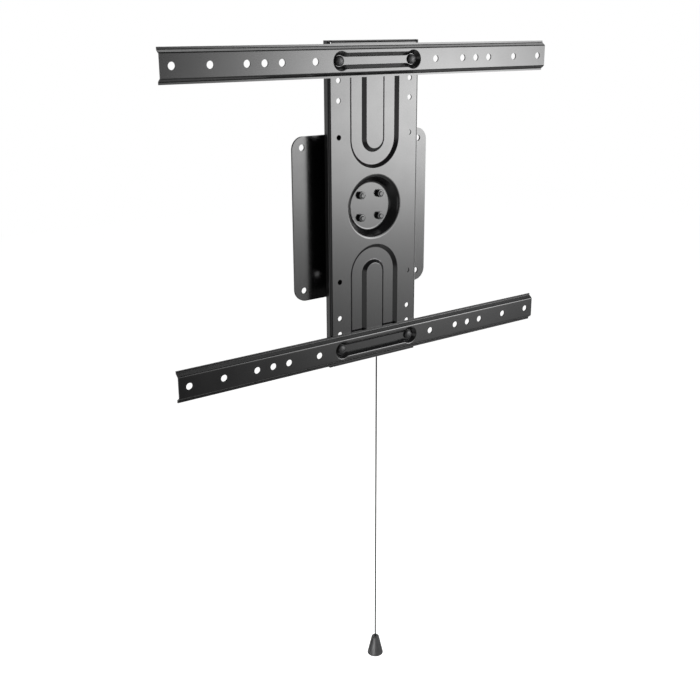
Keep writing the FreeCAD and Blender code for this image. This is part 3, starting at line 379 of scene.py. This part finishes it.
bolt_plating = dull_zinc()
rail_rise, bolt_side = 0.2, 0.06
washer_outer, washer_edge = 0.006, 0.0002
rail_nut_back, washer_back, plate_back = 0.0244, 0.0294, 0.031
for rail, height in (("upper_rail", pivot_z + rail_rise), ("lower_rail", pivot_z - rail_rise)):
    bolts, washers, nuts = [], [], []
    for x in (-bolt_side, bolt_side):
        bolts.append(rail_bolt(x, height))
        washers.append(flat_ring(nut_bore, washer_outer, washer_back, plate_back, washer_edge, x, height))
        nuts.append(hex_nut(nut_flats, nut_bore, rail_nut_back, washer_back, x, height))
    solid_piece(f"domed_{rail}_bolts", bolts, bolt_plating,
                "turning_side", "black_steel", f"{rail}_bolts")
    solid_piece(f"rounded_{rail}_washers", washers, plating,
                "turning_side", "black_steel", f"{rail}_washers")
    solid_piece(f"chamfered_{rail}_nuts", nuts, plating,
                "turning_side", "black_steel", f"{rail}_nuts")


# Lock slide: a flat steel blank with a tooth, slots and an ear, cut and zinc plated.
# It runs on the two guide rivets, and the cord draws it down out of the hub's notch.

finish_nodes(zinc, "lock_slide")


# Pull cord: a thin braided cord, tied through the ear of the slide, that hangs straight down.
# Black polyester, two millimetres thick, held straight by the cone's weight, with a knot at each end.

def braid_finish():
    """Black braid: near-black yarn with paler fibres."""
    material, tree, shader = new_finish("black_braid", 0.8, 0.1)
    fibre = speckle(tree, 0.0005)
    dark, light = (0.006, 0.006, 0.0064), (0.018, 0.018, 0.019)
    spread(tree, fibre, dark, light, shader.inputs["Base Color"])
    spread(tree, fibre, 0.72, 0.88, shader.inputs["Roughness"])
    return material


def braided_tube(line, side, width):
    """A cord round a line: at each point a circle across it, whose radius swells where two sets of
    yarns cross, by the size of the product of two cosines, of one and a half times the turn plus and
    less the way along."""
    yarn_steps, stitch, swell_share = 24, 1.2 * width, 0.08
    along = np.concatenate([[0], np.cumsum(np.linalg.norm(np.diff(line, axis=0), axis=1))])
    forward = np.gradient(line, axis=0)
    forward /= np.linalg.norm(forward, axis=1)[:, None]
    side = side - forward * np.sum(forward * side, axis=1)[:, None]
    side /= np.linalg.norm(side, axis=1)[:, None]
    out = np.cross(forward, side)
    turn = np.linspace(0, 2 * np.pi, yarn_steps, endpoint=False)
    way = np.pi * along[:, None] / stitch
    swell = np.abs(np.cos(1.5 * turn + way) * np.cos(1.5 * turn - way))
    radius = width / 2 * (1 + swell_share * swell)
    across = side[:, None] * np.cos(turn)[:, None] + out[:, None] * np.sin(turn)[:, None]
    return line[:, None] + across * radius[..., None]


def end_rows(tube):
    """A tube closed at both ends by a point in the middle of its first and last circle."""
    first, last = tube[:1].mean(axis=1, keepdims=True), tube[-1:].mean(axis=1, keepdims=True)
    shape = tube[:1].shape
    return np.concatenate([np.broadcast_to(first, shape), tube, np.broadcast_to(last, shape)])


def overhand_knot(middle, size, width):
    """A drawn-up overhand knot, as a tube round a closed trefoil: across by the sine of the turn and
    twice the sine of two turns, upward by the cosines, and to the front by the sine of three."""
    knot_rows, trefoil_reach, bulge = 180, 3, 1.6
    turn = np.linspace(0, 2 * np.pi, knot_rows, endpoint=False)
    reach = (size - width) / 2 / trefoil_reach
    line = reach * np.column_stack([np.sin(turn) + 2 * np.sin(2 * turn), -bulge * np.sin(3 * turn),
                                    np.cos(turn) - 2 * np.cos(2 * turn)])
    closed = np.vstack([line[-1:], line, line[:1]])
    tube = braided_tube(closed, closed, width)[1:-1]
    return skin(tube + np.array(middle), ring=True)


braid = braid_finish()
cord_low, cord_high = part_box("pull_cord")
cord_width = cord_high.x - cord_low.x
cord_x = (cord_low.x + cord_high.x) / 2
cord_y = (cord_low.y + cord_high.y) / 2

# The loop goes up from its knot, half round a bend in the ear's hole, and down again.
loop_low, loop_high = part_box("cord_loop")
knot_size = loop_high.x - loop_low.x
cord_meets_knot = math.radians(63)
knot_z = cord_high.z + knot_size / 2 * math.sin(cord_meets_knot)
loop_rows, bend = 100, 0.0026
quarter = bend * np.pi / 2
bend_z = loop_high.z - cord_width / 2 - bend
leg = bend_z - knot_z
way = np.linspace(-leg - quarter, leg + quarter, loop_rows)
swing = np.clip(way / bend, -np.pi / 2, np.pi / 2)
loop_line = np.column_stack([np.full(loop_rows, cord_x), cord_y + bend * np.sin(swing),
                             bend_z + bend * np.cos(swing) - np.maximum(np.abs(way) - quarter, 0)])
loop_side = np.tile([1.0, 0, 0], (loop_rows, 1))
loop_tube = skin(end_rows(braided_tube(loop_line, loop_side, cord_width)))
loop_knot = overhand_knot((cord_x, cord_y, knot_z), knot_size, cord_width)
tied_loop = solid_piece("tied_cord_loop", [loop_tube, loop_knot], braid, "lock", "cord", "cord_loop")

end_low, end_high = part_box("cord_end_knot")
end_size = end_high.x - end_low.x
knot_in_cone = overhand_knot((cord_x, cord_y, end_low.z + end_size / 2), end_size, cord_width)
end_knot = solid_piece("tied_end_knot", [knot_in_cone], braid, "lock", "cord", "cord_end_knot")

# The cord hangs straight from knot to knot along a curve, read at even heights.
near_edge = 6 * cord_width
route = [(cord_x, cord_y, cord_high.z),
         (cord_x, cord_y, cord_high.z - near_edge),
         (cord_x, cord_y, cord_low.z + near_edge),
         (cord_x, cord_y, cord_low.z)]
route_line = bpy.data.curves.new("pull_cord_line", "CURVE")
route_line.dimensions = "3D"
route_line.resolution_u = 64
spline = route_line.splines.new("NURBS")
spline.points.add(len(route) - 1)
spline.points.foreach_set("co", np.column_stack([route, np.ones(len(route))]).ravel())
spline.order_u = 3
spline.use_endpoint_u = True
route_holder = bpy.data.objects.new("pull_cord_line", route_line)
route_mesh = bpy.data.meshes.new_from_object(route_holder)
route_points = np.empty(len(route_mesh.vertices) * 3)
route_mesh.vertices.foreach_get("co", route_points)
route_points = route_points.reshape(-1, 3)
bpy.data.objects.remove(route_holder)
bpy.data.meshes.remove(route_mesh)
cord_rows = 1300
heights = np.linspace(cord_high.z, cord_low.z, cord_rows)
rows = np.interp(heights, route_points[::-1, 2], np.arange(len(route_points))[::-1])
whole = np.minimum(rows.astype(int), len(route_points) - 2)
part = (rows - whole)[:, None]
cord_line = route_points[whole] * (1 - part) + route_points[whole + 1] * part
cord_side = np.tile([1.0, 0, 0], (cord_rows, 1))
cord_tube = skin(end_rows(braided_tube(cord_line, cord_side, cord_width)))
hanging_cord = solid_piece("hanging_cord", [cord_tube], braid, "lock", "cord", "pull_cord")


# Pull cone: a small moulded cone that the cord runs into, hollow below.
# Dark grey satin plastic, held on the cord by the knot inside it.

def satin_plastic():
    """Dark moulded plastic with a fine even texture."""
    material, tree, shader = new_finish("satin_dark_plastic", 0.45, 0.5)
    cloud = speckle(tree, 0.005)
    dark, light = (0.045, 0.045, 0.0465), (0.055, 0.055, 0.0565)
    spread(tree, cloud, dark, light, shader.inputs["Base Color"])
    spread(tree, cloud, 0.42, 0.5, shader.inputs["Roughness"])
    relief(tree, speckle(tree, 0.0005), 0.00001, shader)
    return material


def moulded_cone(x, y, top, base):
    """A hollow cone on an upright axis. Its section runs round six corners, each cut to a small round
    by three points: one along each side, and one between them."""
    cord_hole, top_radius, base_radius, hollow, roof = 0.0011, 0.00575, 0.01275, 0.006, 0.008
    edge, corner_share, cone_steps = 0.0005, 0.29, 96
    corners = np.array([(cord_hole, top), (top_radius, top), (base_radius, base), (hollow, base),
                        (hollow, top - roof), (cord_hole, top - roof)])
    back, on = np.roll(corners, 1, 0) - corners, np.roll(corners, -1, 0) - corners
    back *= edge / np.linalg.norm(back, axis=1)[:, None]
    on *= edge / np.linalg.norm(on, axis=1)[:, None]
    middle = corners + corner_share * (back + on)
    section = np.stack([corners + back, middle, corners + on], axis=1).reshape(-1, 2)
    turn = np.linspace(0, 2 * np.pi, cone_steps, endpoint=False)
    radius = section[:, :1]
    return skin(np.stack([x + radius * np.cos(turn), y + radius * np.sin(turn),
                          section[:, 1:] + 0 * turn], axis=-1), ring=True)


cone_low, cone_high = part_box("pull_cone")
pull_cone = solid_piece("moulded_pull_cone", [moulded_cone(cord_x, cord_y, cone_high.z, cone_low.z)],
                        satin_plastic(), "lock", "pull_plastic", "pull_cone")


# Studio: a pale floor well below the mount, and one large soft light to the front right, brightest in
# its middle. Weak panels and cards above, behind and to both sides show the folds, the back and the cone.
# The background is white to the camera.

def soft_panel(name, place, aim, width, height, watts):
    """A soft rectangular lamp turned towards a point."""
    lamp = bpy.data.lights.new(name, "AREA")
    lamp.shape = "RECTANGLE"
    lamp.size, lamp.size_y = width, height
    lamp.energy = watts
    holder = bpy.data.objects.new(name, lamp)
    holder.location = place
    way = np.array(aim) - np.array(place)
    upward = math.atan2(way[2], math.hypot(way[0], way[1]))
    heading = math.atan2(way[1], way[0])
    holder.rotation_euler = (math.pi / 2 + upward, 0, heading - math.pi / 2)
    holder.visible_camera = False
    bpy.context.scene.collection.objects.link(holder)
    return lamp


def grade(lamp, across, upward):
    """Shade a panel from edge to edge: the light at a spot is the product of two ramps, one over the
    way across the panel and one over the way up, each given as places and shares of the full light."""
    lamp.use_nodes = True
    tree = lamp.node_tree
    spot = tree.nodes.new("ShaderNodeNewGeometry")
    parts = tree.nodes.new("ShaderNodeSeparateXYZ")
    product = tree.nodes.new("ShaderNodeMath")
    product.operation = "MULTIPLY"
    tree.links.new(spot.outputs["Parametric"], parts.inputs["Vector"])
    for socket, axis, stops in ((0, "X", across), (1, "Y", upward)):
        ramp = tree.nodes.new("ShaderNodeValToRGB")
        ramp.color_ramp.interpolation = "B_SPLINE"
        for place, _ in stops[1:-1]:
            ramp.color_ramp.elements.new(place)
        for element, (place, share) in zip(ramp.color_ramp.elements, stops):
            element.position = place
            element.color = (share, share, share, 1)
        tree.links.new(parts.outputs[axis], ramp.inputs["Fac"])
        tree.links.new(ramp.outputs["Color"], product.inputs[socket])
    tree.links.new(product.outputs["Value"], tree.nodes["Emission"].inputs["Strength"])


key_panel = soft_panel("key_panel", (1.014, -1.114, -0.014), (1.014, 0, -0.014), 1.9, 1.8, 135)
grade(key_panel,
      ((0, 0.02), (0.17, 0.18), (0.29, 0.54), (0.54, 1), (0.74, 0.42), (1, 0.05)),
      ((0, 0), (0.16, 0.08), (0.33, 0.235), (0.42, 0.72), (0.52, 1), (0.6, 0.88), (1, 0.3)))
soft_panel("top_panel", (0.9, 0.6, 1.4), (0.9, 0.7, 0), 2.0, 0.8, 10)
soft_panel("rail_strip", (1.1, -0.11, 1.4), (1.1, 0, 0), 1.6, 0.25, 0.9)
soft_panel("left_card", (-1.4, 1.0, -0.2), (0, 0, 0), 2.0, 1.5, 5.4)
soft_panel("back_panel", (0.2, 1.6, -0.1), (0.2, 0, -0.1), 1.6, 1.2, 9)
soft_panel("back_right_card", (1.6, 1.2, -0.3), (0, 0, 0), 1.2, 1.2, 7)
soft_panel("right_card", (2.0, 0, -0.1), (0, 0, -0.1), 1.2, 1.2, 4)
soft_panel("left_front_card", (-1.3, -1.3, -0.3), (0, 0, -0.3), 1.2, 1.0, 1.8)
cone_card = soft_panel("cone_card", (-0.5, -0.3, -0.85), (cord_x, cord_y, cone_low.z), 0.3, 0.3, 0.3)
cone_card.spread = math.radians(40)


def white_to_view(tree, view, mirror, other):
    """A strength that is one value to the camera, one to gloss and glass, and one to other light."""
    shares = {"Is Camera Ray": view, "Is Glossy Ray": mirror, "Is Transmission Ray": mirror}
    path = tree.nodes.new("ShaderNodeLightPath")
    strength = None
    for ray, share in shares.items():
        part = tree.nodes.new("ShaderNodeMath")
        part.operation = "MULTIPLY_ADD"
        part.inputs[1].default_value = share - other
        part.inputs[2].default_value = other
        tree.links.new(path.outputs[ray], part.inputs[0])
        if strength is not None:
            tree.links.new(strength, part.inputs[2])
        strength = part.outputs["Value"]
    return strength


world = bpy.data.worlds.new("white_studio")
bpy.context.scene.world = world
world.use_nodes = True
sky = world.node_tree
backdrop = sky.nodes["Background"]
backdrop.inputs["Color"].default_value = (1, 1, 1, 1)
sky.links.new(white_to_view(sky, 1.0, 0.05, 0.05), backdrop.inputs["Strength"])

floor_z, floor_reach = -1.25, 6.0
floor_mesh = bpy.data.meshes.new("pale_floor")
floor_mesh.from_pydata([(-floor_reach, -floor_reach, floor_z), (floor_reach, -floor_reach, floor_z),
                        (floor_reach, floor_reach, floor_z), (-floor_reach, floor_reach, floor_z)],
                       [], [(0, 1, 2, 3)])
floor = bpy.data.objects.new("pale_floor", floor_mesh)
bpy.context.scene.collection.objects.link(floor)
floor_finish, floor_tree, floor_shader = new_finish("pale_floor", 0.8, 0.2)
spread(floor_tree, speckle(floor_tree, 0.2), 0.45, 0.48, floor_shader.inputs["Base Color"])
floor_shader.inputs["Emission Color"].default_value = (1, 1, 1, 1)
floor_tree.links.new(white_to_view(floor_tree, 0.97, 0.05, 0.0), floor_shader.inputs["Emission Strength"])
floor_mesh.materials.append(floor_finish)


# Camera: from the left and a little above, as a person standing before the wall sees the mount.
# A normal lens with a small shift, tilted down a little.

tilt_down, turn_right = math.radians(16.71), math.radians(35.671)
lens = bpy.data.cameras.new("viewer")
lens.sensor_width = 36
lens.lens = 49.14
lens.shift_x = -0.02
lens.shift_y = -0.06
viewer = bpy.data.objects.new("viewer", lens)
viewer.location = (-0.7873, -1.1041, 0.2635)
viewer.rotation_euler = (math.pi / 2 - tilt_down, 0, -turn_right)
bpy.context.scene.collection.objects.link(viewer)
bpy.context.scene.camera = viewer
bpy.context.scene.view_settings.view_transform = "Standard"
